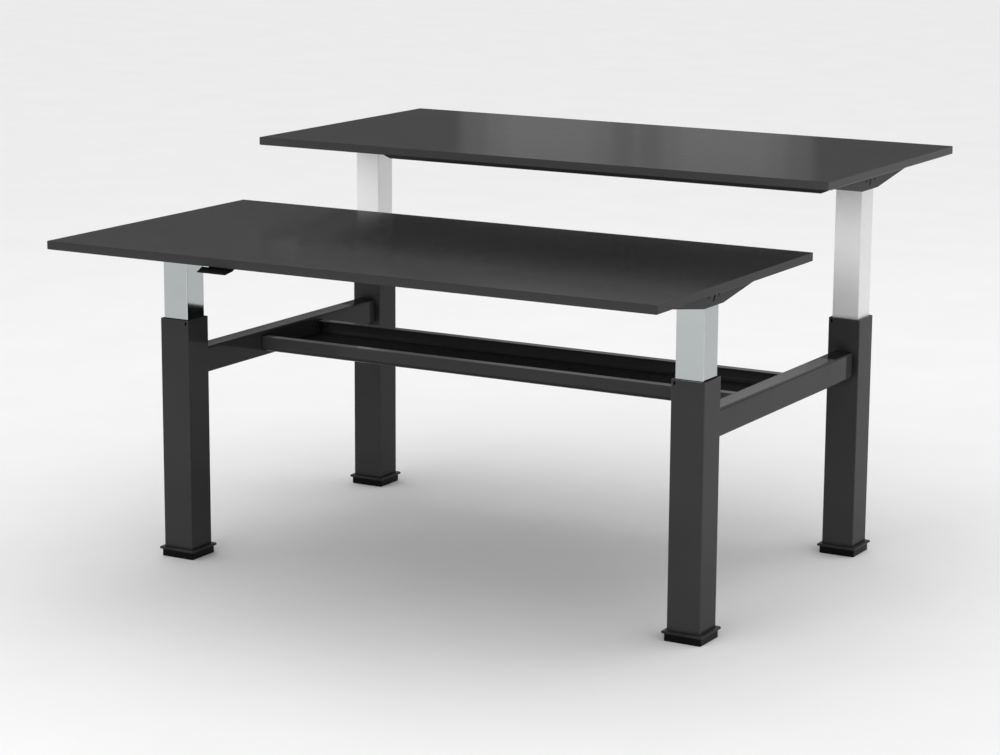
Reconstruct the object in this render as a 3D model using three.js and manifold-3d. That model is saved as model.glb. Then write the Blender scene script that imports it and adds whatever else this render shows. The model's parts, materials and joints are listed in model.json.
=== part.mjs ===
// Benching desk for two: two height-adjustable desks back to back on one base.
// Millimetres, +Z up, origin on the floor at the middle of the bench.
// The person at the front desk sits at -Y, the person at the rear desk at +Y.
import * as THREE from 'three';
import { mergeVertices } from 'three/addons/utils/BufferGeometryUtils.js';
import Module from 'manifold-3d';

const wasm = await Module();
wasm.setup();

// Driving sizes: the desktops
const TOP_WIDTH = 1600;
const TOP_DEPTH = 800;
const TOP_THICK = 20;
const TOP_GAP = 75;
const FRONT_HEIGHT = 839;
const REAR_HEIGHT = 993;
const TOP_EDGE = 1;

// Driving sizes: the columns
const COLUMN = 83;
const COLUMN_WALL = 2.5;
const COLUMN_CORNER = 2;
const INNER = 70;
const COLUMN_TOP = 604;
const COLUMN_INSET = 100;
const INNER_LENGTH = 575;

// Driving sizes: feet, rails and tray
const FOOT_SKIRT = 93;
const FOOT_FLANGE = 104;
const FOOT_HEIGHT = 24;
const FLANGE_THICK = 6;
const RAIL_WIDTH = 50;
const RAIL_HEIGHT = 66;
const RAIL_CENTRE = 489;
const RAIL_CORNER = 6;
const TRAY_DEPTH = 284;
const TRAY_HEIGHT = 38;
const TRAY_LIP = 24;
const TRAY_BEND = 14;
const HANGER_REACH = 30;
const HANGER_HALF = 60;
const SHEET = 3;

// Driving sizes: brackets, crossbeam and drive
const BRACKET_WIDTH = 80;
const BRACKET_DROP = 49;
const BRACKET_FLAT = 98;
const BRACKET_LENGTH = 640;
const BRACKET_END = 7;
const BRACKET_FLANGE = 12;
const FRONT_SLOT_LEAN = 0.7;
const REAR_SLOT_LEAN = -0.2;
const BEAM_EXTRA = 14;
const BEAM_TAPER = 33;
const SPINDLE_RADIUS = 8;
const NUT_TUBE_WALL = 4;

// Driving sizes: paddle and control box
const PADDLE_WIDTH = 87;
const PADDLE_TAPER = 4.5;
const PADDLE_CENTRE = -310;
const PADDLE_REACH = 27;
const PADDLE_INSET = 16;
const BOX_LENGTH = 240;
const BOX_DEPTH = 100;
const BOX_HEIGHT = 32;

// Clearances
const SLIDE_GAP = 0.3;
const SEAT_GAP = 0.3;
const ROUND_STEPS = 20;

// Sizes that follow from the ones above
const COLUMN_X = TOP_WIDTH / 2 - COLUMN_INSET;
const DESK_Y = TOP_GAP / 2 + TOP_DEPTH / 2;
const BORE = COLUMN - 2 * COLUMN_WALL;
const LINER_TOP = COLUMN_TOP - 1;
const RAIL_END = DESK_Y - COLUMN / 2;
const RAIL_INSIDE = COLUMN_X - RAIL_WIDTH / 2;
const PLUG_TOP = FOOT_HEIGHT + 18;
const BRACKET_Z = -TOP_THICK - BRACKET_DROP;
const SPINDLE_SEAT = 14;
const SPINDLE_LENGTH = INNER_LENGTH - 15;
const NUT_TOP = COLUMN_TOP - 30;
const NUT_HEIGHT = 30;

// Materials, as the photograph shows them
const paint = (name, color, roughness, metalness) =>
  Object.assign(new THREE.MeshStandardMaterial({ color, roughness, metalness }), { name });
const boardGrey = paint('board_grey', 0x3b3b3c, 0.45, 0.0);
const blackLacquer = paint('black_lacquer', 0x2a2a2b, 0.3, 0.3);
const brightSteel = paint('bright_steel', 0xc4c8c8, 0.15, 1.0);
const blackPlastic = paint('black_plastic', 0x161617, 0.45, 0.0);
const toolSteel = paint('tool_steel', 0x8c8f92, 0.35, 1.0);
const castGrey = paint('cast_grey', 0x55585a, 0.5, 0.6);

const bench = new THREE.Group();
bench.name = 'benching_desk_for_two';

// Closed solids and booleans
function solid(geometry) {
  const bare = new THREE.BufferGeometry();
  const flat = geometry.index ? geometry.toNonIndexed() : geometry;
  bare.setAttribute('position', flat.getAttribute('position').clone());
  const welded = mergeVertices(bare, 1e-4);
  return new wasm.Manifold(new wasm.Mesh({
    numProp: 3,
    vertProperties: new Float32Array(welded.getAttribute('position').array),
    triVerts: new Uint32Array(welded.index.array),
  }));
}

function join(...pieces) {
  return pieces.slice(1).reduce((sum, piece) => sum.add(piece), pieces[0]);
}

function cut(body, ...tools) {
  return tools.reduce((rest, tool) => rest.subtract(tool), body);
}

function box(x0, x1, y0, y1, z0, z1) {
  const geometry = new THREE.BoxGeometry(x1 - x0, y1 - y0, z1 - z0);
  geometry.translate((x0 + x1) / 2, (y0 + y1) / 2, (z0 + z1) / 2);
  return solid(geometry);
}

// A closed outline of points, pushed out along one axis
function outline(points) {
  return new THREE.Shape(points.map(([u, v]) => new THREE.Vector2(u, v)));
}

function alongZ(shape, z0, z1) {
  const geometry = new THREE.ExtrudeGeometry(shape, { depth: z1 - z0, bevelEnabled: false, curveSegments: 3 });
  geometry.translate(0, 0, z0);
  return solid(geometry);
}

function alongX(points, x0, x1) {
  const geometry = new THREE.ExtrudeGeometry(outline(points), { depth: x1 - x0, bevelEnabled: false });
  geometry.applyMatrix4(new THREE.Matrix4().makeBasis(
    new THREE.Vector3(0, 1, 0), new THREE.Vector3(0, 0, 1), new THREE.Vector3(1, 0, 0)));
  geometry.translate(x0, 0, 0);
  return solid(geometry);
}

function alongY(points, y0, y1) {
  const turned = points.map(([x, z]) => [z, x]);
  const geometry = new THREE.ExtrudeGeometry(outline(turned), { depth: y1 - y0, bevelEnabled: false });
  geometry.applyMatrix4(new THREE.Matrix4().makeBasis(
    new THREE.Vector3(0, 0, 1), new THREE.Vector3(1, 0, 0), new THREE.Vector3(0, 1, 0)));
  geometry.translate(0, y0, 0);
  return solid(geometry);
}

function roundedRect(width, depth, radius, path = new THREE.Shape()) {
  const u = width / 2;
  const v = depth / 2;
  path.moveTo(-u + radius, -v);
  path.lineTo(u - radius, -v);
  path.absarc(u - radius, -v + radius, radius, -Math.PI / 2, 0);
  path.lineTo(u, v - radius);
  path.absarc(u - radius, v - radius, radius, 0, Math.PI / 2);
  path.lineTo(-u + radius, v);
  path.absarc(-u + radius, v - radius, radius, Math.PI / 2, Math.PI);
  path.lineTo(-u, -v + radius);
  path.absarc(-u + radius, -v + radius, radius, Math.PI, 1.5 * Math.PI);
  path.closePath();
  return path;
}

function squareTube(width, depth, radius, wall, z0, z1) {
  const shape = roundedRect(width, depth, radius);
  const inside = Math.max(radius - wall, 0.8);
  shape.holes.push(roundedRect(width - 2 * wall, depth - 2 * wall, inside, new THREE.Path()));
  return alongZ(shape, z0, z1);
}

function rod(radius, z0, z1) {
  const geometry = new THREE.CylinderGeometry(radius, radius, z1 - z0, ROUND_STEPS);
  geometry.rotateX(Math.PI / 2);
  geometry.translate(0, 0, (z0 + z1) / 2);
  return solid(geometry);
}

function rodX(radius, x0, x1, y, z) {
  const geometry = new THREE.CylinderGeometry(radius, radius, x1 - x0, ROUND_STEPS);
  geometry.rotateZ(Math.PI / 2);
  geometry.translate((x0 + x1) / 2, y, z);
  return solid(geometry);
}

function rodY(radius, y0, y1, x, z) {
  const geometry = new THREE.CylinderGeometry(radius, radius, y1 - y0, ROUND_STEPS);
  geometry.translate(x, (y0 + y1) / 2, z);
  return solid(geometry);
}

// Adds one solid to the bench, at a place in the bench's frame
function add(name, body, material, place = new THREE.Matrix4()) {
  const mesh = body.getMesh();
  const geometry = new THREE.BufferGeometry();
  geometry.setAttribute('position', new THREE.BufferAttribute(new Float32Array(mesh.vertProperties), 3));
  geometry.setIndex(new THREE.BufferAttribute(new Uint32Array(mesh.triVerts), 1));
  geometry.applyMatrix4(place);
  const flat = geometry.toNonIndexed();
  flat.computeVertexNormals();
  const piece = new THREE.Mesh(flat, material);
  piece.name = name;
  bench.add(piece);
}

// Foot: skirt on the floor, chamfered flange, and a plug that fills the column's lower end
function foot() {
  const flangeZ = FOOT_HEIGHT - FLANGE_THICK;
  const chamfer = 2;
  const plate = new THREE.ExtrudeGeometry(roundedRect(FOOT_FLANGE - 2 * chamfer, FOOT_FLANGE - 2 * chamfer, 3), {
    depth: FLANGE_THICK - 2 * chamfer,
    bevelEnabled: true,
    bevelSize: chamfer,
    bevelThickness: chamfer,
    bevelSegments: 1,
    curveSegments: 4,
  });
  plate.translate(0, 0, flangeZ + chamfer);
  const plugWidth = BORE - 2 * SEAT_GAP;
  return join(
    alongZ(roundedRect(FOOT_SKIRT, FOOT_SKIRT, 4), 0, flangeZ + chamfer),
    solid(plate),
    alongZ(roundedRect(plugWidth, plugWidth, 2), FOOT_HEIGHT - 1, PLUG_TOP),
  );
}

// Outer column: tube with a clip window near the top of its front and back
function outerColumn(side) {
  const tube = squareTube(COLUMN, COLUMN, COLUMN_CORNER, COLUMN_WALL, FOOT_HEIGHT, COLUMN_TOP);
  const windowX = -side * (COLUMN / 2 - 8);
  const windowTop = COLUMN_TOP - 4;
  return cut(tube, box(windowX - 2.5, windowX + 2.5, -COLUMN, COLUMN, windowTop - 8, windowTop));
}

// Guide collar: liner just inside the column's upper end, which the inner column slides through
function guideCollar() {
  const opening = INNER + 2 * SLIDE_GAP;
  const linerWidth = BORE - 2 * SEAT_GAP;
  return squareTube(linerWidth, linerWidth, 2, (linerWidth - opening) / 2, COLUMN_TOP - 50, LINER_TOP);
}

// Nut tube: stands on the foot's plug and carries the drive nut at its top
function nutTube() {
  const outside = SPINDLE_RADIUS + 2 + NUT_TUBE_WALL;
  return cut(
    join(rod(outside, PLUG_TOP, NUT_TOP), rod(outside + 5, NUT_TOP - NUT_HEIGHT, NUT_TOP)),
    rod(SPINDLE_RADIUS + 2, PLUG_TOP + 4, NUT_TOP - NUT_HEIGHT),
    rod(SPINDLE_RADIUS + SLIDE_GAP, NUT_TOP - NUT_HEIGHT - 1, NUT_TOP + 1),
  );
}

// End bracket: folded channel under the board, flat in the middle and tapered to both ends
function bracketProfile(inset) {
  const flat = BRACKET_FLAT / 2;
  const end = BRACKET_LENGTH / 2 - inset;
  const slope = (BRACKET_DROP - BRACKET_END) / (BRACKET_LENGTH / 2 - flat);
  const low = BRACKET_Z + inset;
  const lowEnd = low + slope * (end - flat);
  return { flat, end, low, lowEnd };
}

function leaningSlot(x0, x1, z, lean) {
  const geometry = new THREE.BoxGeometry(x1 - x0, 5, 16);
  geometry.rotateX(-lean);
  geometry.translate((x0 + x1) / 2, 0, z);
  return solid(geometry);
}

function bracket(side, slotLean) {
  const outer = bracketProfile(0);
  const inner = bracketProfile(SHEET);
  const half = BRACKET_WIDTH / 2;
  const channel = (p, top) => [
    [-p.end, top], [-p.end, p.lowEnd], [-p.flat, p.low], [p.flat, p.low], [p.end, p.lowEnd], [p.end, top]];
  const shell = alongX(channel(outer, -TOP_THICK), -half, half);
  const hollow = alongX(channel(inner, -TOP_THICK - SHEET), -half + SHEET, half - SHEET);
  const mouth = half - SHEET - BRACKET_FLANGE;
  const open = box(-mouth, mouth, -inner.end, inner.end, -TOP_THICK - SHEET - 1, -TOP_THICK + 1);
  const face = side * half;
  const reach = 2 * SHEET;
  const holeZ = BRACKET_Z + 23;
  const slot = leaningSlot(face - reach, face + reach, BRACKET_Z + 18, slotLean);
  const holes = [-27, 24].map((y) => rodX(2.5, face - reach, face + reach, y, holeZ));
  const passage = rod(SPINDLE_RADIUS + 4, BRACKET_Z - 1, BRACKET_Z + SHEET + 1);
  return cut(shell, hollow, open, slot, ...holes, passage);
}

// Crossbeam: folded beam between the brackets, deeper than they are, tapered at its ends to match
function crossbeam() {
  const end = COLUMN_X - BRACKET_WIDTH / 2;
  const half = BRACKET_WIDTH / 2;
  const low = BRACKET_Z - BEAM_EXTRA;
  const profile = (lift, top, past) => [
    [-end - past, top], [-end - past, BRACKET_Z + lift], [-end + BEAM_TAPER, low + lift],
    [end - BEAM_TAPER, low + lift], [end + past, BRACKET_Z + lift], [end + past, top]];
  const shell = alongY(profile(0, -TOP_THICK, 0), -half, half);
  const hollow = alongY(profile(SHEET, -TOP_THICK - SHEET, 1), -half + SHEET, half - SHEET);
  const mouth = half - SHEET - BRACKET_FLANGE;
  const slit = box(-end - 1, end + 1, -mouth, mouth, low - 1, BRACKET_Z + 2 * SHEET);
  return cut(shell, hollow, slit);
}

// Drive unit: gearbox block over the column with its motor lying along the bracket
function driveUnit() {
  const floor = BRACKET_Z + SHEET;
  const roof = -TOP_THICK - SHEET - 1;
  const block = box(-30, 30, -48, 40, floor, roof);
  const motor = rodY(14, 35, 104, 0, floor + 24);
  const seat = rod(SPINDLE_RADIUS + SLIDE_GAP, floor - 1, floor + SPINDLE_SEAT + SLIDE_GAP);
  return cut(join(block, motor), seat);
}

// Spindle: rod with a keyed groove that hangs from the drive unit into the nut tube
function spindle() {
  const top = BRACKET_Z + SHEET + SPINDLE_SEAT;
  const low = BRACKET_Z - SPINDLE_LENGTH;
  const groove = box(-1.5, 1.5, SPINDLE_RADIUS - 1.5, SPINDLE_RADIUS + 1, low - 1, low + SPINDLE_LENGTH);
  return cut(rod(SPINDLE_RADIUS, low, top), groove);
}

// Desktop board with a fine chamfer round both faces
function desktop() {
  const board = new THREE.ExtrudeGeometry(roundedRect(TOP_WIDTH - 2 * TOP_EDGE, TOP_DEPTH - 2 * TOP_EDGE, 1.5), {
    depth: TOP_THICK - 2 * TOP_EDGE,
    bevelEnabled: true,
    bevelSize: TOP_EDGE,
    bevelThickness: TOP_EDGE,
    bevelSegments: 1,
    curveSegments: 4,
  });
  board.translate(0, 0, -TOP_THICK + TOP_EDGE);
  return solid(board);
}

// Control box: shell with a recessed inlet at one end and a row of sockets at the other
function controlBox() {
  const x0 = -BOX_LENGTH / 2;
  const y0 = BRACKET_WIDTH / 2 + 12;
  const top = -TOP_THICK;
  const low = top - BOX_HEIGHT;
  const mid = y0 + BOX_DEPTH / 2;
  const inlet = box(x0 - 1, x0 + 16, mid - 14, mid + 14, low + 6, low + 26);
  const sockets = [-30, -10, 10, 30].map((y) => box(-x0 - 10, -x0 + 1, mid + y - 6, mid + y + 6, low + 9, low + 21));
  return cut(box(x0, -x0, y0, y0 + BOX_DEPTH, low, top), inlet, ...sockets);
}

// Paddle and its housing under the front edge: the hub turns between two ears behind a thin sloping blade
const HUB_RADIUS = 3.2;
const PIN_RADIUS = 1.6;
const EAR = 5;
const HUB_Y = -TOP_DEPTH / 2 + 7;
const HUB_Z = -TOP_THICK - 5.6;
const HOUSING_HALF = PADDLE_WIDTH / 2 - PADDLE_INSET;

function paddleHousing() {
  const back = HUB_Y + HUB_RADIUS + 1;
  const front = HUB_Y - HUB_RADIUS - 1;
  const block = box(-HOUSING_HALF, HOUSING_HALF, back, back + 40, -TOP_THICK - 6, -TOP_THICK);
  const ears = [-HOUSING_HALF, HOUSING_HALF - EAR].map((x) =>
    box(x, x + EAR, front, back + 6, HUB_Z - HUB_RADIUS - 1, -TOP_THICK));
  const pinHole = rodX(PIN_RADIUS + 0.05, -HOUSING_HALF + 1.5, HOUSING_HALF - 1.5, HUB_Y, HUB_Z);
  return cut(join(block, ...ears), pinHole);
}

function paddle() {
  const half = PADDLE_WIDTH / 2;
  const inside = HOUSING_HALF - EAR - SLIDE_GAP;
  const root = -TOP_DEPTH / 2 - 0.4;
  const tip = -TOP_DEPTH / 2 - PADDLE_REACH;
  const crest = -TOP_THICK - 0.8;
  const slope = alongX([[root, crest], [tip, crest - 7.6], [tip, crest - 9.4], [root, crest - 2.8]], -half, half);
  const plan = alongZ(outline([
    [-half, root], [-half + PADDLE_TAPER, tip], [half - PADDLE_TAPER, tip], [half, root]]), crest - 10, crest + 1);
  const arm = box(-inside, inside, root - 1, HUB_Y, crest - 4.2, crest - 1.6);
  const hub = rodX(HUB_RADIUS, -inside, inside, HUB_Y, HUB_Z);
  const pin = rodX(PIN_RADIUS, -HOUSING_HALF + 2, HOUSING_HALF - 2, HUB_Y, HUB_Z);
  return join(slope.intersect(plan), arm, hub, pin);
}

// One desk and the part of the base that carries it, turned and raised into place
function addDesk(desk, turn, height, slotLean) {
  const atFloor = new THREE.Matrix4().makeRotationZ(turn)
    .multiply(new THREE.Matrix4().makeTranslation(0, -DESK_Y, 0));
  const place = (x, z) => atFloor.clone().multiply(new THREE.Matrix4().makeTranslation(x, 0, z));
  for (const [word, side] of [['left', -1], ['right', 1]]) {
    const x = side * COLUMN_X;
    const tag = `${desk}_${word}`;
    add(`${tag}_foot`, foot(), blackPlastic, place(x, 0));
    add(`${tag}_outer_column`, outerColumn(side), blackLacquer, place(x, 0));
    add(`${tag}_guide_collar`, guideCollar(), blackPlastic, place(x, 0));
    add(`${tag}_nut_tube`, nutTube(), castGrey, place(x, 0));
    const inner = squareTube(INNER, INNER, COLUMN_CORNER, COLUMN_WALL, BRACKET_Z - INNER_LENGTH, BRACKET_Z);
    add(`${tag}_inner_column`, inner, brightSteel, place(x, height));
    add(`${tag}_bracket`, bracket(side, slotLean), blackLacquer, place(x, height));
    add(`${tag}_drive_unit`, driveUnit(), castGrey, place(x, height));
    add(`${tag}_spindle`, spindle(), toolSteel, place(x, height));
  }
  add(`${desk}_desktop`, desktop(), boardGrey, place(0, height));
  add(`${desk}_crossbeam`, crossbeam(), blackLacquer, place(0, height));
  add(`${desk}_control_box`, controlBox(), blackPlastic, place(0, height));
  add(`${desk}_paddle_housing`, paddleHousing(), blackPlastic, place(PADDLE_CENTRE, height));
  add(`${desk}_paddle`, paddle(), blackPlastic, place(PADDLE_CENTRE, height));
}

addDesk('front', 0, FRONT_HEIGHT, FRONT_SLOT_LEAN);
addDesk('rear', Math.PI, REAR_HEIGHT, REAR_SLOT_LEAN);

// Side rails between front and rear columns
for (const [word, side] of [['left', -1], ['right', 1]]) {
  const tube = squareTube(RAIL_WIDTH, RAIL_HEIGHT, RAIL_CORNER, COLUMN_WALL, -RAIL_END, RAIL_END);
  const lay = new THREE.Matrix4().makeTranslation(side * COLUMN_X, 0, RAIL_CENTRE)
    .multiply(new THREE.Matrix4().makeRotationX(Math.PI / 2));
  add(`${word}_side_rail`, tube, blackLacquer, lay);
}

// Cable tray: folded channel with round bends and inward lips, from rail to rail
const TRAY_TOP = RAIL_CENTRE + TRAY_HEIGHT / 2;
const TRAY_LOW = TRAY_TOP - TRAY_HEIGHT;
const BEND_STEPS = 6;

function bend(y, z, radius, from) {
  return Array.from({ length: BEND_STEPS + 1 }, (_, step) => {
    const angle = from + (step / BEND_STEPS) * Math.PI / 2;
    return [y + radius * Math.cos(angle), z + radius * Math.sin(angle)];
  });
}

function traySection(inset) {
  const y = TRAY_DEPTH / 2 - inset;
  const top = TRAY_TOP - inset;
  const radius = TRAY_BEND - inset;
  const centreZ = TRAY_LOW + TRAY_BEND;
  return [
    ...bend(-y + radius, centreZ, radius, Math.PI),
    ...bend(y - radius, centreZ, radius, 1.5 * Math.PI),
    [y, top], [-y, top]];
}

const mouth = TRAY_DEPTH / 2 - TRAY_LIP;
add('cable_tray', cut(
  alongX(traySection(0), -RAIL_INSIDE, RAIL_INSIDE),
  alongX(traySection(SHEET), -RAIL_INSIDE - 1, RAIL_INSIDE + 1),
  box(-RAIL_INSIDE - 1, RAIL_INSIDE + 1, -mouth, mouth, TRAY_TOP - SHEET - 1, TRAY_TOP + 1),
), blackLacquer);

// Tray hangers: an angle on the inner face of each rail, which the tray rests on
const HANGER_LOW = RAIL_CENTRE - RAIL_HEIGHT / 2 + RAIL_CORNER;
for (const [word, side] of [['left', -1], ['right', 1]]) {
  const wall = side * RAIL_INSIDE;
  const reach = side * (RAIL_INSIDE - HANGER_REACH);
  const skin = side * (RAIL_INSIDE - SHEET);
  const upright = box(Math.min(wall, skin), Math.max(wall, skin), -HANGER_HALF, HANGER_HALF, HANGER_LOW, TRAY_LOW);
  const ledge = box(
    Math.min(wall, reach), Math.max(wall, reach), -HANGER_HALF, HANGER_HALF, TRAY_LOW - SHEET, TRAY_LOW);
  add(`${word}_tray_hanger`, join(upright, ledge), blackLacquer);
}

export default bench;
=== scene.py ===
# %% [markdown]
# A sit-stand bench for two, dressed in Blender.
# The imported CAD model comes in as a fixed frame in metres, and this lesson gives it its looks:
# materials made of nodes, softened edges, small fasteners, a floor, lights and the camera.
# The pieces could be modelled again here, but the frame already has their true sizes and
# places, so only what the solids lack is added.

# %% Load the frame
import json
import math

import bmesh
import bpy
from mathutils import Matrix, Quaternion, Vector


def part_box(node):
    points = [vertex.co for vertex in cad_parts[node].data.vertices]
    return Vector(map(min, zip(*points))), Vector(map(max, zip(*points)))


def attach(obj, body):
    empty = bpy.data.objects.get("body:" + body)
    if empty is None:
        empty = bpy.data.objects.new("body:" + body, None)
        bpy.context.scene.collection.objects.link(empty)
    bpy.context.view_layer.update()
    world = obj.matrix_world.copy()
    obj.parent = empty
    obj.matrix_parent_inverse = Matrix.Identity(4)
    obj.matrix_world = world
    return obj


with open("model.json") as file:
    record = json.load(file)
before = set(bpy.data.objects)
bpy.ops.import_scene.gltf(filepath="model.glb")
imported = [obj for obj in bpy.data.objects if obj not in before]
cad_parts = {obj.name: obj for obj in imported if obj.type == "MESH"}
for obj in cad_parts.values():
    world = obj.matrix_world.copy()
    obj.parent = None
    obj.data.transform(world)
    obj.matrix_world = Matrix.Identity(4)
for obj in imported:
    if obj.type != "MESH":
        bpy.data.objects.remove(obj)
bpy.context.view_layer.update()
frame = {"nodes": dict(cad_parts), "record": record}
nodes = frame["nodes"]
print("CAD nodes:", len(nodes))

# %% [markdown]
# A material in Blender is a tree of nodes joined by links. The nodes could be written out in
# every finish, but the same few steps come back each time. So small helpers do them: start a
# material, add a node, do arithmetic, and split a vector into its three axes.

# %% Nodes and links


def new_material(name):
    material = bpy.data.materials.new(name)
    material.use_nodes = True
    return material, material.node_tree, material.node_tree.nodes["Principled BSDF"]


def add_node(tree, kind, **values):
    node = tree.nodes.new(kind)
    for key, value in values.items():
        setattr(node, key, value)
    return node


def math_node(tree, operation, first, second=None):
    node = add_node(tree, "ShaderNodeMath", operation=operation)
    for socket, value in zip(node.inputs, (first, second)):
        if value is None:
            continue
        if isinstance(value, (int, float)):
            socket.default_value = value
        else:
            tree.links.new(value, socket)
    return node.outputs[0]


def axes(tree, kind, output):
    """The X, Y and Z sockets of a vector that a new node of this kind gives out."""
    source = add_node(tree, kind)
    split = add_node(tree, "ShaderNodeSeparateXYZ")
    tree.links.new(source.outputs[output], split.inputs[0])
    return split.outputs


print("ready: nodes and links")

# %% [markdown]
# No real finish is quite even: laminate is cloudy, lacquer has an orange peel, steel has draw
# lines. A picture could show that, but it would have to be unwrapped onto each piece. Noise on
# object coordinates needs no unwrapping: a CAD node's object sits at the origin, so these
# coordinates are metres in the bench's own frame and follow the piece when it moves.

# %% Noise and ranges
NOISE_LOW, NOISE_HIGH = 0.3, 0.7


def noise(tree, scale, detail=4.0, roughness=0.5, stretch=(1.0, 1.0, 1.0)):
    coords = add_node(tree, "ShaderNodeTexCoord")
    mapping = add_node(tree, "ShaderNodeMapping")
    mapping.inputs["Scale"].default_value = stretch
    texture = add_node(tree, "ShaderNodeTexNoise")
    texture.inputs["Scale"].default_value = scale
    texture.inputs["Detail"].default_value = detail
    texture.inputs["Roughness"].default_value = roughness
    tree.links.new(coords.outputs["Object"], mapping.inputs["Vector"])
    tree.links.new(mapping.outputs["Vector"], texture.inputs["Vector"])
    return texture.outputs["Fac"]


def remap(tree, value, low, high, from_low=NOISE_LOW, from_high=NOISE_HIGH):
    """Stretch a value from one range to another. The default range is the usual one of a noise."""
    node = add_node(tree, "ShaderNodeMapRange")
    node.inputs["From Min"].default_value = from_low
    node.inputs["From Max"].default_value = from_high
    node.inputs["To Min"].default_value = low
    node.inputs["To Max"].default_value = high
    tree.links.new(value, node.inputs["Value"])
    return node.outputs["Result"]


def rise(tree, value, start, end):
    """0 up to the start, then a straight climb to 1 at the end."""
    return remap(tree, value, 0.0, 1.0, start, end)


def fall(tree, value, start, end):
    """1 up to the start, then a straight drop to 0 at the end."""
    return remap(tree, value, 1.0, 0.0, start, end)


print("ready: noise between", NOISE_LOW, "and", NOISE_HIGH)

# %% [markdown]
# The bench is nearly all grey and black, and such paints have a trace of blue. Each colour could
# be three numbers, but then the trace would differ from paint to paint. So a colour is one level
# of grey with the same tint, and two levels are mixed by a noise into a speckle.

# %% Greys and mixes
COOL_TINT = 1.015


def grey(level):
    return (level, level, level * COOL_TINT)


def mix_colours(tree, factor, first, second):
    node = add_node(tree, "ShaderNodeMix", data_type="RGBA")
    tree.links.new(factor, node.inputs["Factor"])
    for name, value in (("A", first), ("B", second)):
        socket = next(s for s in node.inputs if s.name == name and s.type == "RGBA")
        if isinstance(value, tuple):
            socket.default_value = (*value, 1.0)
        else:
            tree.links.new(value, socket)
    return next(s for s in node.outputs if s.type == "RGBA")


def speckle(tree, texture, dark, pale):
    return mix_colours(tree, remap(tree, texture, 0.0, 1.0), dark, pale)


print("ready: greys with a tint of", COOL_TINT)

# %% [markdown]
# Paint rubs thin along edges first. The pointiness of a mesh could find them, but it needs a
# dense mesh, and these solids have few faces. So the edge is found from the box of the piece:
# a point is near an edge where it is near two of the box's faces at once.

# %% Relief and worn edges
BOX_CENTRE = 0.5


def bump(tree, shader, height, strength, distance):
    node = add_node(tree, "ShaderNodeBump")
    node.inputs["Strength"].default_value = strength
    node.inputs["Distance"].default_value = distance
    tree.links.new(height, node.inputs["Height"])
    tree.links.new(node.outputs["Normal"], shader.inputs["Normal"])


def edge_mask(tree, size, width):
    """1 along the edges of a box-shaped piece of this size, falling to 0 over width metres."""
    spread = axes(tree, "ShaderNodeTexCoord", "Generated")
    depth = []
    for axis in range(3):
        off_centre = math_node(tree, "ABSOLUTE", math_node(tree, "SUBTRACT", spread[axis], BOX_CENTRE))
        inward = math_node(tree, "SUBTRACT", BOX_CENTRE, off_centre)
        depth.append(math_node(tree, "MULTIPLY", inward, size[axis]))
    near = math_node(tree, "MINIMUM", depth[0], depth[1])
    far = math_node(tree, "MAXIMUM", depth[0], depth[1])
    second = math_node(tree, "MAXIMUM", near, math_node(tree, "MINIMUM", far, depth[2]))
    return fall(tree, second, start=0.0, end=width)


def wear_edges(tree, size, colour, worn_colour, width, grain, least, most):
    """Rub the edges through to another colour, in patches of a noise with this grain."""
    patches = remap(tree, noise(tree, grain), least, most)
    worn = math_node(tree, "MULTIPLY", edge_mask(tree, size, width), patches)
    return mix_colours(tree, worn, colour, worn_colour)


print("ready: relief and worn edges")

# %% [markdown]
# A worn edge has the same few millimetres on a long rail and on a small box. One material for all
# would stretch it with the piece, and one for every piece would be many copies. So a finish is
# made once for each size of piece, and pieces of one size share it.

# %% Dress the pieces
SIZE_DIGITS = 4
made_finishes = {}


def finish_for(finish, size):
    key = (finish.__name__, *(round(v, SIZE_DIGITS) for v in size))
    if key not in made_finishes:
        made_finishes[key] = finish(size)
    return made_finishes[key]


def named(*endings):
    return [name for name in nodes if name.endswith(endings)]


def dress(names, finish):
    for name in names:
        low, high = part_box(name)
        data = nodes[name].data
        data.materials.clear()
        data.materials.append(finish_for(finish, high - low))
    print(finish.__name__, "on", len(names))


print("pieces to dress:", len(nodes))

# %% [markdown]
# The boards are dark laminate: nearly black, satin, with a very fine pearl texture and a paler
# band glued round the edge. The band could be a second material on the side faces, but then it
# would end at a hard line. The colour follows the upright part of the surface normal instead,
# so it turns with the rounded edge. A broad, weak noise keeps the large face from looking flat.

# %% Board laminate
BOARD_FACE = {"dark": grey(0.020), "pale": grey(0.024)}
BAND_SPARKLE = 1.13
WORN_BAND = grey(0.065)
BOARD_GLOSS = 0.06


def board_laminate(name, size, band_level):
    material, tree, shader = new_material(name)
    cloud = noise(tree, scale=2.2, detail=3.0)
    pearl = noise(tree, scale=900.0, detail=2.0)
    face = speckle(tree, cloud, **BOARD_FACE)
    band = speckle(tree, pearl, dark=grey(band_level), pale=grey(band_level * BAND_SPARKLE))
    upright = math_node(tree, "ABSOLUTE", axes(tree, "ShaderNodeNewGeometry", "Normal")["Z"])
    base = mix_colours(tree, rise(tree, upright, start=0.2, end=0.8), band, face)
    colour = wear_edges(tree, size, base, WORN_BAND, width=0.0012, grain=60.0, least=0.0, most=0.3)
    tree.links.new(colour, shader.inputs["Base Color"])
    patches = noise(tree, scale=30.0, detail=6.0)
    tree.links.new(remap(tree, patches, low=0.13, high=0.17), shader.inputs["Roughness"])
    shader.inputs["Specular IOR Level"].default_value = BOARD_GLOSS
    bump(tree, shader, pearl, strength=0.006, distance=0.0002)
    return material


def front_board(size):
    return board_laminate("front_board", size, band_level=0.0405)


# Painted light: the rear board has the same laminate as the front one, but its band is painted paler than
# the front board's.
def rear_board(size):
    return board_laminate("rear_board", size, band_level=0.060)


dress(["front_desktop"], front_board)
dress(["rear_desktop"], rear_board)
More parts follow.
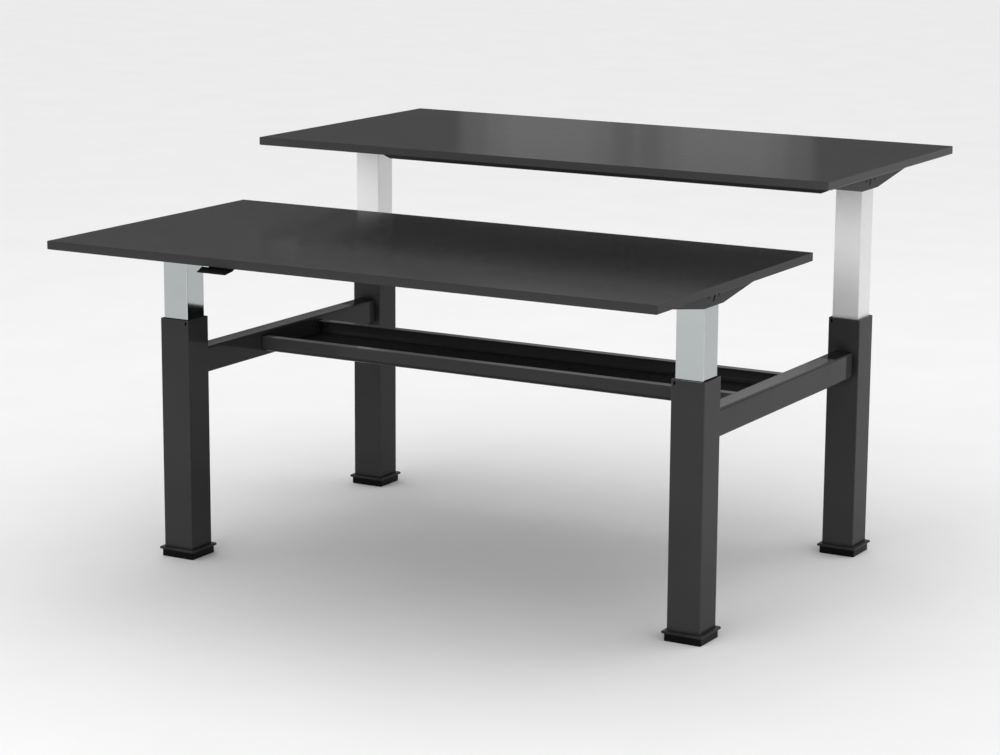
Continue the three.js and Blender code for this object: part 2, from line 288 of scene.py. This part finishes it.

# %% [markdown]
# The steelwork is black lacquer: a semi-gloss coat over powder, smooth enough to mirror the
# neighbouring tube near a joint. A faint orange peel breaks the reflections up. The corners are
# darkened with painted shade: it could be painted by hand on each piece, but ambient occlusion
# finds every corner by itself. On the columns the painted shade reaches farther.

# %% Black lacquer
LACQUER_LEVEL = 0.041
LACQUER_CLOUD = 1.16
LACQUER_GLOSS = 0.06
WORN_LACQUER = grey(0.085)
CORNER_SHADE = grey(0.020)
SHADE_REACH, COLUMN_SHADE_REACH = 0.006, 0.04
CORNER_SAMPLES = 8


def lacquer(name, size, level=LACQUER_LEVEL, shade_reach=SHADE_REACH, smooth=0.06, rough=0.10, painted_light=None):
    material, tree, shader = new_material(name)
    cloud = noise(tree, scale=5.0, detail=4.0)
    peel = noise(tree, scale=420.0, detail=2.0)
    base = speckle(tree, cloud, dark=grey(level), pale=grey(level * LACQUER_CLOUD))
    coat = wear_edges(tree, size, base, WORN_LACQUER, width=0.0022, grain=90.0, least=0.0, most=0.7)
    if painted_light:
        coat = painted_light(tree, coat)
    # Painted shade: ambient occlusion darkens the coat towards the corner shade colour near other surfaces.
    corner = add_node(tree, "ShaderNodeAmbientOcclusion", samples=CORNER_SAMPLES)
    corner.inputs["Distance"].default_value = shade_reach
    open_air = rise(tree, corner.outputs["AO"], start=0.5, end=0.85)
    tree.links.new(mix_colours(tree, open_air, CORNER_SHADE, coat), shader.inputs["Base Color"])
    patches = noise(tree, scale=24.0, detail=5.0)
    tree.links.new(remap(tree, patches, smooth, rough), shader.inputs["Roughness"])
    shader.inputs["Specular IOR Level"].default_value = LACQUER_GLOSS
    bump(tree, shader, peel, strength=0.012, distance=0.0003)
    return material


def black_lacquer(size):
    return lacquer("black_lacquer", size)


def column_lacquer(size):
    return lacquer("column_lacquer", size, shade_reach=COLUMN_SHADE_REACH)


dress(named("bracket", "crossbeam"), black_lacquer)
dress(named("outer_column"), column_lacquer)

# %% [markdown]
# The flat tops of the side rails are painted pale as a painted sheen, and the last stretch before
# the rear columns is painted dark as a painted reflection of the columns. A thin sheet could lie
# on the rail, but it would need a mesh of its own. The normal tells the top from the sides, and
# the place along the rail tells sheen from the dark end, so two ramps in the same lacquer do it.

# %% Rails with painted sheen and reflection
RAIL_TOP_SHEEN, RAIL_END_REFLECTION = grey(0.10), grey(0.012)
DARK_END_LENGTH = 0.10
RAIL_SHEEN_FADE = 0.015
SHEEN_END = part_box("left_side_rail")[1].y - DARK_END_LENGTH


# Painted sheen on the rail tops, and a painted reflection of the rear columns over their last stretch.
def top_sheen_and_reflection(tree, coat):
    facing = axes(tree, "ShaderNodeNewGeometry", "Normal")["Z"]
    along = axes(tree, "ShaderNodeTexCoord", "Object")["Y"]
    looks_up = rise(tree, facing, start=0.5, end=0.9)
    before_dark_end = fall(tree, along, start=SHEEN_END - RAIL_SHEEN_FADE, end=SHEEN_END)
    return mix_colours(tree, looks_up, coat, mix_colours(tree, before_dark_end, RAIL_END_REFLECTION, RAIL_TOP_SHEEN))


def rail_lacquer(size):
    return lacquer("rail_lacquer", size, painted_light=top_sheen_and_reflection)


dress(named("side_rail"), rail_lacquer)

# %% [markdown]
# The tray is folded sheet with the same coat, painted a little paler as painted light. Its lips
# are painted bright as a painted highlight, and its flat floor and the undersides of its bends
# are painted dark as painted shade. Each of these could be a material of its own on chosen faces,
# but the bends have no edge where one could stop. The height and the normal change smoothly round
# a bend, so they choose the colour.

# %% Tray sheet
# Painted light: the tray's coat is painted paler than the black lacquer.
TRAY_LEVEL = 0.054
TRAY_FLOOR_SHADE, TRAY_UNDERSIDE_SHADE = grey(0.022), grey(0.028)
LIP_HIGHLIGHT = grey(0.11)
LIP_DROP, LIP_FADE = 0.003, 0.006
LIP_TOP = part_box("cable_tray")[1].z - LIP_DROP


# Painted shade on the tray floor and under the bends, and a painted highlight on the lips.
def tray_painted_light(tree, coat):
    facing = axes(tree, "ShaderNodeNewGeometry", "Normal")["Z"]
    height = axes(tree, "ShaderNodeTexCoord", "Object")["Z"]
    looks_up = rise(tree, facing, start=0.05, end=0.3)
    lies_flat = rise(tree, facing, start=0.93, end=1.0)
    looks_down = fall(tree, facing, start=-0.5, end=-0.1)
    at_lip = rise(tree, height, start=LIP_TOP - LIP_FADE, end=LIP_TOP)
    inside = math_node(tree, "SUBTRACT", lies_flat, math_node(tree, "MULTIPLY", lies_flat, at_lip))
    floor_shaded = mix_colours(tree, inside, coat, TRAY_FLOOR_SHADE)
    lip_lit = mix_colours(tree, math_node(tree, "MULTIPLY", looks_up, at_lip), floor_shaded, LIP_HIGHLIGHT)
    return mix_colours(tree, looks_down, lip_lit, TRAY_UNDERSIDE_SHADE)


def sheet_lacquer(size):
    return lacquer("sheet_lacquer", size, level=TRAY_LEVEL, smooth=0.10, rough=0.14, painted_light=tray_painted_light)


dress(named("tray", "tray_hanger"), sheet_lacquer)

# %% [markdown]
# The inner columns are drawn steel, bright on the front desk and satin on the rear one. The draw
# lines run up the tube. They could be cut as grooves, but they are finer than a hair. So a noise
# is stretched along Z until it is all lines, and it drives the roughness and a slight bump.

# %% Drawn steel
BRIGHT_TUBE, SATIN_TUBE = (0.41, 0.431, 0.435), (0.93, 0.93, 0.93)
WORN_TUBE = (0.80, 0.81, 0.81)
TUBE_CLOUD = 1.06
DRAW_LINES = (1.0, 1.0, 0.006)


def drawn_steel(name, size, colour, smooth, rough):
    material, tree, shader = new_material(name)
    shader.inputs["Metallic"].default_value = 1.0
    lines = noise(tree, scale=700.0, detail=3.0, stretch=DRAW_LINES)
    cloud = noise(tree, scale=8.0, detail=4.0)
    base = speckle(tree, cloud, dark=colour, pale=tuple(v * TUBE_CLOUD for v in colour))
    mixed = wear_edges(tree, size, base, WORN_TUBE, width=0.002, grain=70.0, least=0.2, most=0.8)
    tree.links.new(mixed, shader.inputs["Base Color"])
    tree.links.new(remap(tree, lines, smooth, rough), shader.inputs["Roughness"])
    bump(tree, shader, lines, strength=0.01, distance=0.0002)
    return material


def bright_steel(size):
    return drawn_steel("bright_steel", size, BRIGHT_TUBE, smooth=0.04, rough=0.07)


def satin_steel(size):
    return drawn_steel("satin_steel", size, SATIN_TUBE, smooth=0.58, rough=0.66)


tubes = named("inner_column")
dress([name for name in tubes if name.startswith("front")], bright_steel)
dress([name for name in tubes if name.startswith("rear")], satin_steel)

# %% [markdown]
# Feet, collars, paddles and control boxes are moulded black plastic with a fine spark texture.
# The texture could be displaced geometry, but at this size a bump looks the same and costs
# nothing. The feet are glossier, and a paler band is painted round the flange between two
# heights as a painted sheen.

# %% Moulded plastic
PLASTIC_BODY = {"dark": grey(0.0018), "pale": grey(0.003)}
WORN_PLASTIC, FLANGE_SHEEN_COLOUR = grey(0.03), grey(0.036)
SHEEN_BAND_LOW, SHEEN_BAND_HIGH = 0.0185, 0.0245
SHEEN_BAND_FADE_IN, SHEEN_BAND_FADE_OUT = 0.0015, 0.0005


# Painted sheen: a paler band round the flange of the feet, between two heights.
def flange_sheen(tree, colour):
    height = axes(tree, "ShaderNodeTexCoord", "Object")["Z"]
    above = rise(tree, height, start=SHEEN_BAND_LOW - SHEEN_BAND_FADE_IN, end=SHEEN_BAND_LOW)
    below = fall(tree, height, start=SHEEN_BAND_HIGH, end=SHEEN_BAND_HIGH + SHEEN_BAND_FADE_OUT)
    patches = remap(tree, noise(tree, scale=20.0, detail=3.0), low=0.6, high=1.0)
    band = math_node(tree, "MULTIPLY", math_node(tree, "MULTIPLY", above, below), patches)
    return mix_colours(tree, band, colour, FLANGE_SHEEN_COLOUR)


def plastic(name, size, gloss, painted_light=None):
    material, tree, shader = new_material(name)
    grain = noise(tree, scale=1100.0, detail=3.0, roughness=0.6)
    cloud = noise(tree, scale=20.0, detail=3.0)
    base = speckle(tree, cloud, **PLASTIC_BODY)
    colour = wear_edges(tree, size, base, WORN_PLASTIC, width=0.0012, grain=110.0, least=0.0, most=0.4)
    if painted_light:
        colour = painted_light(tree, colour)
    tree.links.new(colour, shader.inputs["Base Color"])
    tree.links.new(remap(tree, grain, low=0.26, high=0.40), shader.inputs["Roughness"])
    shader.inputs["Specular IOR Level"].default_value = gloss
    bump(tree, shader, grain, strength=0.05, distance=0.0002)
    return material


def black_plastic(size):
    return plastic("black_plastic", size, gloss=0.03)


def foot_plastic(size):
    return plastic("foot_plastic", size, gloss=0.09, painted_light=flange_sheen)


dress(named("guide_collar", "control_box", "paddle_housing", "paddle"), black_plastic)
dress(named("foot"), foot_plastic)

# %% [markdown]
# The spindles and screws are turned steel, and the gearboxes and nut tubes are raw casting. Most of
# them are hidden and could share one plain grey, but the screws and gearboxes show from below.
# Each metal has one texture that drives colour, roughness and bump together, as the marks of a
# tool or of the sand do on the real one. Its size isn't used, because it has no worn edge.

# %% Turned steel and casting
TURNED_RINGS = (0.02, 0.02, 1.0)
STEEL_MARKS = {"dark": (0.33, 0.34, 0.35), "pale": (0.44, 0.45, 0.46)}
CAST_MARKS = {"dark": (0.17, 0.175, 0.18), "pale": (0.25, 0.255, 0.26)}


def bare_metal(name, texture_of, marks, smooth, rough, relief, depth):
    material, tree, shader = new_material(name)
    shader.inputs["Metallic"].default_value = 1.0
    texture = texture_of(tree)
    tree.links.new(speckle(tree, texture, **marks), shader.inputs["Base Color"])
    tree.links.new(remap(tree, texture, smooth, rough), shader.inputs["Roughness"])
    bump(tree, shader, texture, relief, depth)
    return material


def turned_rings(tree):
    return noise(tree, scale=900.0, detail=2.0, stretch=TURNED_RINGS)


def cast_sand(tree):
    return noise(tree, scale=600.0, detail=5.0, roughness=0.65)


def tool_steel(size):
    return bare_metal(
        "tool_steel", turned_rings, STEEL_MARKS, smooth=0.25, rough=0.42, relief=0.15, depth=0.0003)


def cast_grey(size):
    return bare_metal(
        "cast_grey", cast_sand, CAST_MARKS, smooth=0.45, rough=0.65, relief=0.25, depth=0.0004)


dress(named("spindle"), tool_steel)
dress(named("drive_unit", "nut_tube"), cast_grey)
print("finishes made:", len(made_finishes))

# %% [markdown]
# Real edges are never razor sharp: they catch a thin line of light. The mesh could be bevelled for
# good, but modifiers leave the CAD vertices as they came. A weld joins the loose corners of the
# imported mesh, a small bevel rounds the sharp edges, and weighted normals keep the flats flat.

# %% Soften the edges
BEVELS = {
    "board_grey": 0.0004,
    "black_lacquer": 0.0010,
    "bright_steel": 0.0005,
    "black_plastic": 0.0008,
    "tool_steel": 0.0003,
    "cast_grey": 0.0010,
}
BEVEL_SEGMENTS = 2
SHARP_ANGLE = math.radians(35.0)
WELD_REACH = 0.00001

slot_of = {part["node"]: part["material_slot"] for part in frame["record"]["subparts"]}


def soften(piece, width):
    for polygon in piece.data.polygons:
        polygon.use_smooth = True
    weld = piece.modifiers.new("weld", "WELD")
    weld.merge_threshold = WELD_REACH
    rounding = piece.modifiers.new("rounding", "BEVEL")
    rounding.width = width
    rounding.segments = BEVEL_SEGMENTS
    rounding.limit_method = "ANGLE"
    rounding.angle_limit = SHARP_ANGLE
    rounding.use_clamp_overlap = True
    normals = piece.modifiers.new("normals", "WEIGHTED_NORMAL")
    normals.keep_sharp = True


for name, node in nodes.items():
    soften(node, BEVELS[slot_of[name]])
print("softened:", len(nodes))

# %% [markdown]
# A small screw is a domed head with a six-sided socket. It could be a cylinder with a hexagon cut
# out of it, but a cut leaves long thin faces. Here rings of points are bridged with quads from
# the rim of the dome to the bottom of the socket, and the socket's rings follow a hexagon.

# %% Screw heads
RING_STEPS = 24
# Each ring of the dome has its share of the radius and of the height.
DOME = ((1.0, 0.0), (1.0, 0.25), (0.93, 0.6), (0.8, 0.85), (0.62, 1.0))
SOCKET_SHARE = 0.39
SOCKET_FLOOR = 0.35


def ring(mesh, radius, height):
    corners = []
    for step in range(RING_STEPS):
        angle = 2 * math.pi * step / RING_STEPS
        reach = radius(angle)
        corners.append(mesh.verts.new((reach * math.cos(angle), reach * math.sin(angle), height)))
    return corners


def bridge(mesh, lower, upper):
    for step in range(RING_STEPS):
        after = (step + 1) % RING_STEPS
        mesh.faces.new((lower[step], lower[after], upper[after], upper[step]))


def screw_mesh(name, radius, height):
    """A domed screw head on the plane z = 0, with a hexagon socket in its crown."""
    mesh = bmesh.new()
    rings = [ring(mesh, lambda angle: radius * share, height * lift) for share, lift in DOME]

    def hexagon(angle):
        return radius * SOCKET_SHARE / math.cos(angle % (math.pi / 3) - math.pi / 6)

    rim = ring(mesh, hexagon, height)
    well = ring(mesh, hexagon, height * SOCKET_FLOOR)
    rings += [rim, well]
    for lower, upper in zip(rings, rings[1:]):
        bridge(mesh, lower, upper)
    mesh.faces.new(well)
    mesh.faces.new(list(reversed(rings[0])))
    bmesh.ops.recalc_face_normals(mesh, faces=mesh.faces)
    data = bpy.data.meshes.new(name)
    mesh.to_mesh(data)
    mesh.free()
    data.materials.append(finish_for(tool_steel, (2 * radius, 2 * radius, height)))
    return data


hanger_bolt = screw_mesh("hanger_bolt", radius=0.0055, height=0.0035)
box_screw = screw_mesh("box_screw", radius=0.0032, height=0.0018)
housing_screw = screw_mesh("housing_screw", radius=0.0028, height=0.0015)
print("faces of one screw:", len(hanger_bolt.polygons))

# %% [markdown]
# The screws go where pieces meet: through the hangers into the tray, and up into the boards from
# the control boxes and paddle housings. Their places could be typed in, but then they would stay
# behind if a size changed. Each is measured from the box of the piece that it holds, and rides on
# the same body, so it goes up and down with its desk.

# %% Place the screws
HANGER_SHEET = 0.003
BOLT_INSET = 0.02
BOX_SCREW_INSET = Vector((0.03, 0.01))
HOUSING_DEPTH = 0.006
HOUSING_SCREW_INSET = 0.014
HOUSING_SCREW_HALF_SPACING = 0.018
LOOKING_DOWN = (math.pi, 0.0, 0.0)


def place_piece(name, data, place, body, rotation=(0.0, 0.0, 0.0)):
    piece = bpy.data.objects.new(name, data)
    piece.location = place
    piece.rotation_euler = rotation
    bpy.context.scene.collection.objects.link(piece)
    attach(piece, body)


def place_screw(name, data, place, body):
    """Put a screw head up against a face that looks down."""
    place_piece(name, data, place, body, rotation=LOOKING_DOWN)


screws = 0
for side in ("left", "right"):
    low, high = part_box(f"{side}_tray_hanger")
    middle = (low + high) / 2
    for y in (low.y + BOLT_INSET, high.y - BOLT_INSET):
        place_screw(f"hanger_bolt_{screws}", hanger_bolt, (middle.x, y, high.z - HANGER_SHEET), "base")
        screws += 1
for desk in ("front", "rear"):
    body = f"{desk}_desk"
    low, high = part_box(f"{desk}_control_box")
    for x in (low.x + BOX_SCREW_INSET.x, high.x - BOX_SCREW_INSET.x):
        for y in (low.y + BOX_SCREW_INSET.y, high.y - BOX_SCREW_INSET.y):
            place_screw(f"box_screw_{screws}", box_screw, (x, y, low.z), body)
            screws += 1
    low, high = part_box(f"{desk}_paddle_housing")
    middle = (low + high) / 2
    back = high.y - HOUSING_SCREW_INSET if desk == "front" else low.y + HOUSING_SCREW_INSET
    for offset in (-HOUSING_SCREW_HALF_SPACING, HOUSING_SCREW_HALF_SPACING):
        place = (middle.x + offset, back, high.z - HOUSING_DEPTH)
        place_screw(f"housing_screw_{screws}", housing_screw, place, body)
        screws += 1
print("screws:", screws)

# %% [markdown]
# The control boxes have contacts in their openings: three steel pins in the inlet and a plastic
# tongue in each socket. They could be drawn as bright and dark marks, but the openings are real
# holes in the solid. So each contact is a small block with rounded edges, set back inside.

# %% Pins and tongues
PIN_SIZE = (0.012, 0.002, 0.004)
PIN_DEPTH = 0.010
# Each pin has its place across the inlet and its lift above the bottom of the box.
PIN_PLACES = ((-0.007, 0.014), (0.0, 0.019), (0.007, 0.014))
TONGUE_SIZE = (0.007, 0.007, 0.0025)
TONGUE_DEPTH = 0.0065
TONGUE_LIFT = 0.015
SOCKET_OFFSETS = (-0.030, -0.010, 0.010, 0.030)
BLOCK_ROUNDING = 0.0004
CONTACT_FINISHES = {"tool_steel": tool_steel, "black_plastic": black_plastic}


def place_block(name, size, place, body, slot):
    mesh = bmesh.new()
    bmesh.ops.create_cube(mesh, size=1.0)
    bmesh.ops.scale(mesh, vec=Vector(size), verts=mesh.verts)
    bmesh.ops.bevel(
        mesh, geom=mesh.edges[:], offset=BLOCK_ROUNDING, segments=BEVEL_SEGMENTS, profile=0.5,
        affect="EDGES", clamp_overlap=True)
    data = bpy.data.meshes.new(name)
    mesh.to_mesh(data)
    mesh.free()
    data.materials.append(finish_for(CONTACT_FINISHES[slot], size))
    place_piece(name, data, place, body)


blocks = 0
for desk, facing in (("front", 1), ("rear", -1)):
    body = f"{desk}_desk"
    low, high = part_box(f"{desk}_control_box")
    middle = (low + high) / 2
    half_length = (high.x - low.x) / 2
    inlet_x = middle.x - facing * (half_length - PIN_DEPTH)
    for across, lift in PIN_PLACES:
        place = (inlet_x, middle.y + across, low.z + lift)
        place_block(f"inlet_pin_{blocks}", PIN_SIZE, place, body, "tool_steel")
        blocks += 1
    socket_x = middle.x + facing * (half_length - TONGUE_DEPTH)
    for across in SOCKET_OFFSETS:
        place = (socket_x, middle.y + across, low.z + TONGUE_LIFT)
        place_block(f"socket_tongue_{blocks}", TONGUE_SIZE, place, body, "black_plastic")
        blocks += 1
print("pins and tongues:", blocks)

# %% [markdown]
# The bench was photographed from its front right, a little above the boards. A camera could be
# aimed by eye, but then no edge would fall where it does in the photograph. This one was solved
# from the straight edges: its place in the bench's frame, its direction, a small roll, and a
# focal length of 101 mm on a 36 mm sensor.

# %% Camera
CAMERA_PLACE = Vector((3.3615, -5.9568, 1.8846))
YAW, PITCH, ROLL = (math.radians(v) for v in (-29.824, 11.852, 0.341))
FOCAL_PIXELS, IMAGE_WIDTH = 2810.7, 1000.0
SENSOR_WIDTH = 36.0

forward = Vector((math.sin(YAW) * math.cos(PITCH), math.cos(YAW) * math.cos(PITCH), -math.sin(PITCH)))
right = Vector((math.cos(YAW), -math.sin(YAW), 0.0))
up = right.cross(forward)
rolled_right = math.cos(ROLL) * right + math.sin(ROLL) * up
rolled_up = math.cos(ROLL) * up - math.sin(ROLL) * right
turn = Matrix((rolled_right, rolled_up, -forward)).transposed()

camera_data = bpy.data.cameras.new("photo_camera")
camera_data.sensor_width = SENSOR_WIDTH
camera_data.lens = SENSOR_WIDTH * FOCAL_PIXELS / IMAGE_WIDTH
camera = bpy.data.objects.new("photo_camera", camera_data)
camera.matrix_world = Matrix.Translation(CAMERA_PLACE) @ turn.to_4x4()
bpy.context.scene.collection.objects.link(camera)
bpy.context.scene.camera = camera
print("lens:", round(camera_data.lens, 1), "mm")

# %% [markdown]
# The bench stands on pale paper that goes on behind it. A curved backdrop could close the scene,
# but the camera looks down, so one wide flat sheet fills the whole background and leaves the
# sky free to light the bench.

# %% Floor
FLOOR_REACH = 60.0
PAPER = {"dark": (0.86, 0.86, 0.86), "pale": (0.88, 0.88, 0.88)}
PAPER_ROUGHNESS = 0.9
PAPER_GLOSS = 0.1

corners = [(x * FLOOR_REACH, y * FLOOR_REACH, 0.0) for x, y in ((-1, -1), (1, -1), (1, 1), (-1, 1))]
floor_data = bpy.data.meshes.new("studio_floor")
floor_data.from_pydata(corners, [], [(0, 1, 2, 3)])
floor = bpy.data.objects.new("studio_floor", floor_data)
bpy.context.scene.collection.objects.link(floor)
paper, paper_tree, paper_shader = new_material("studio_paper")
fibre = noise(paper_tree, scale=3.0, detail=3.0)
paper_tree.links.new(speckle(paper_tree, fibre, **PAPER), paper_shader.inputs["Base Color"])
paper_shader.inputs["Roughness"].default_value = PAPER_ROUGHNESS
paper_shader.inputs["Specular IOR Level"].default_value = PAPER_GLOSS
floor_data.materials.append(paper)
print("floor:", 2 * FLOOR_REACH, "m wide")

# %% [markdown]
# The sky is dim near the horizon and brighter overhead. One even sky would be simpler, but the
# dark boards mirror its lowest part and would turn grey. The tops of the rails mirror the band
# just above that, which is bright. Two ramps run on the height of the direction, from 0 at the
# horizon to 1 overhead.

# %% Sky
HORIZON_GLOW, BAND_GLOW, OVERHEAD_GLOW = 0.12, 0.52, 0.56
BAND_START, BAND_END = 0.186, 0.210
OVERHEAD_START, OVERHEAD_END = 0.28, 0.57

world = bpy.data.worlds.new("overhead_sky")
world.use_nodes = True
sky_tree = world.node_tree
sky = sky_tree.nodes["Background"]
sky_height = axes(sky_tree, "ShaderNodeTexCoord", "Generated")["Z"]
low_sky = remap(sky_tree, sky_height, HORIZON_GLOW, BAND_GLOW, BAND_START, BAND_END)
high_sky = remap(sky_tree, sky_height, 0.0, OVERHEAD_GLOW, OVERHEAD_START, OVERHEAD_END)
sky_tree.links.new(math_node(sky_tree, "ADD", low_sky, high_sky), sky.inputs["Strength"])
sky.inputs["Color"].default_value = (1.0, 1.0, 1.0, 1.0)
bpy.context.scene.world = world
print("sky nodes:", len(sky_tree.nodes))

# %% [markdown]
# A large soft box hangs over the bench and makes the soft shadow under it. A wide panel lights
# the front, and a long fill the right-hand sides. Two pale windows far behind make the pair of
# highlights on the rear board. One pane each would give them hard sides, so each window is three
# panes of growing width, one on another, and its sides fade out.

# %% Lights
WINDOW_PLACES = {"left": (-2.02, 3.82, 1.5), "right": (-1.43, 4.19, 1.5)}
WINDOW_TARGET = (0.2, 0.3, 1.0)
WINDOW_DEPTH = 0.6
# Each pane has its width in metres and its power in watts.
WINDOW_PANES = ((0.34, 0.14), (0.50, 0.17), (0.71, 0.15))


def soft_light(name, place, target, width, depth, power, turn=0.0):
    data = bpy.data.lights.new(name, "AREA")
    data.shape = "RECTANGLE"
    data.size = width
    data.size_y = depth
    data.energy = power
    light = bpy.data.objects.new(name, data)
    light.location = place
    aim = Vector(target) - Vector(place)
    light.rotation_mode = "QUATERNION"
    light.rotation_quaternion = aim.to_track_quat("-Z", "Y") @ Quaternion((0, 0, 1), math.radians(turn))
    bpy.context.scene.collection.objects.link(light)


soft_light(
    "overhead_softbox", place=(1.2, 1.3, 5.0), target=(1.2, 1.3, 0.0),
    width=6.6, depth=3.0, power=41.0, turn=30.0)
soft_light(
    "right_fill", place=(6.5, -2.0, 1.0), target=(0.0, 0.0, 0.5),
    width=4.0, depth=1.4, power=18.0)
soft_light(
    "front_panel", place=(-0.8, -7.2, 2.8), target=(0.0, 0.0, 0.6),
    width=5.0, depth=2.2, power=105.0)
for side, place in WINDOW_PLACES.items():
    for pane, (width, power) in enumerate(WINDOW_PANES):
        soft_light(f"{side}_window_{pane}", place, WINDOW_TARGET, width, WINDOW_DEPTH, power)
bpy.context.scene.view_settings.view_transform = "Standard"
